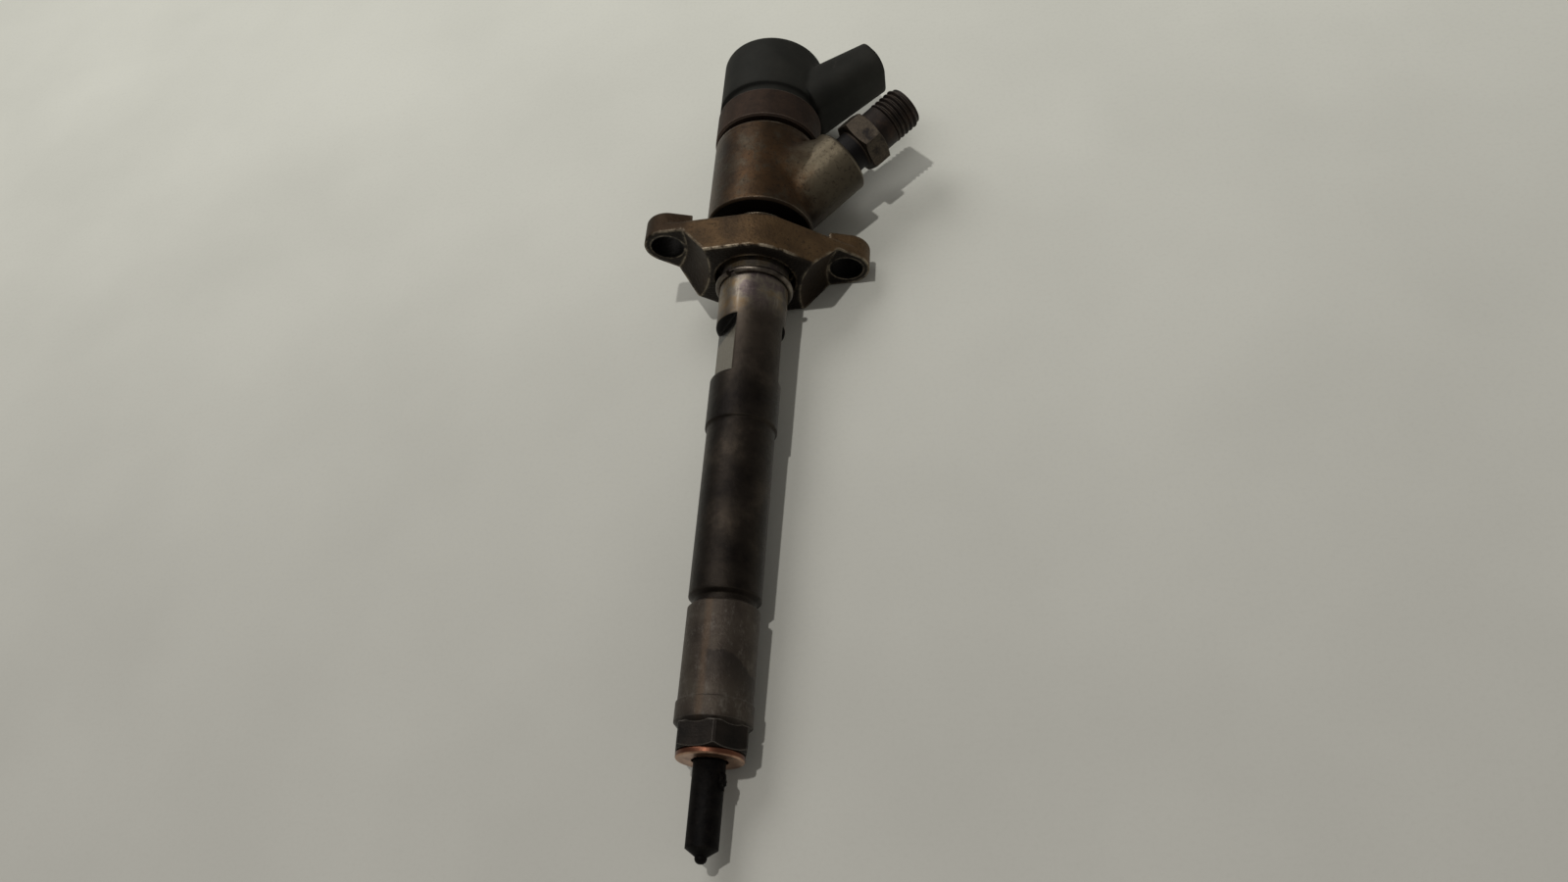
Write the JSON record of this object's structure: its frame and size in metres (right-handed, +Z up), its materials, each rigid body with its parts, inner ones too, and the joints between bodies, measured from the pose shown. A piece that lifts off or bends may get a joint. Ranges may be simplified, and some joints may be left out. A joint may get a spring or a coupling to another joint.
{
  "type": "fuel injector",
  "caption": "Solenoid diesel injector with slanted fuel inlet, plug socket, nozzle with needle, and a loose two-ear clamp flange.",
  "frame": {"origin": "on the injector axis at the lower face of the copper seal washer, where it seats in the engine", "axes": "+Y along the injector axis from nozzle to cap, +X to the side of the fuel inlet, +Z up from the surface it lies on"},
  "size_m": [0.072, 0.2276, 0.0296],
  "materials": {
    "forged_steel": "patinated",
    "machined_steel": "tarnished",
    "hardened_steel": "ground",
    "black_steel": "oiled",
    "rusty_steel": "worn",
    "spring_steel": "bright",
    "copper": "worn",
    "soft_iron": "satin",
    "black_plastic": "matt",
    "pale_plastic": "satin",
    "seal_rubber": "matt"
  },
  "bodies": {
    "injector": {"copper_washer": "copper", "nozzle_body": "black_steel", "dowel_pins": "hardened_steel", "nozzle_nut": "machined_steel", "needle_spring": "spring_steel", "needle_spring_shim": "hardened_steel", "injector_body": "forged_steel", "snap_ring": "spring_steel", "valve_seal_ring": "copper", "valve_body": "hardened_steel", "valve_clamp_screw": "machined_steel", "armature_guide": "hardened_steel", "armature_spring": "spring_steel", "air_gap_shim": "hardened_steel", "magnet_core": "soft_iron", "coil_bobbin": "pale_plastic", "coil_winding": "copper", "solenoid_spring": "spring_steel", "spring_preload_shim": "hardened_steel", "spring_preload_plug": "hardened_steel", "solenoid_sleeve": "machined_steel", "solenoid_o_ring": "seal_rubber", "solenoid_nut": "rusty_steel", "solenoid_cap": "black_plastic", "terminal_pins": "spring_steel", "inlet_seal": "copper", "inlet_connector": "rusty_steel", "edge_filter": "hardened_steel"},
    "needle": {"nozzle_needle": "hardened_steel", "pressure_pin": "hardened_steel", "control_piston": "hardened_steel"},
    "armature": {"armature_plate": "soft_iron", "armature_pin": "hardened_steel", "armature_lock_washer": "spring_steel", "ball_holder": "hardened_steel", "valve_ball": "hardened_steel"},
    "clamp": {"clamp_flange": "forged_steel"}
  },
  "joints": [
    {"name": "needle_lift", "type": "slide", "parent": "injector", "child": "needle", "axis": [0, 1, 0], "range_m": [0, 0.00025], "stiffness_N_per_m": 3000, "springref_m": -0.001, "deforming": ["needle_spring"]},
    {"name": "armature_lift", "type": "slide", "parent": "injector", "child": "armature", "axis": [0, 1, 0], "range_m": [0, 0.00006], "stiffness_N_per_m": 1500, "springref_m": -0.001, "deforming": ["solenoid_spring", "armature_spring"]},
    {"name": "clamp_slide", "type": "slide", "parent": "injector", "child": "clamp", "axis": [0, 1, 0], "range_m": [-0.0073, 0.0049]}
  ]
}
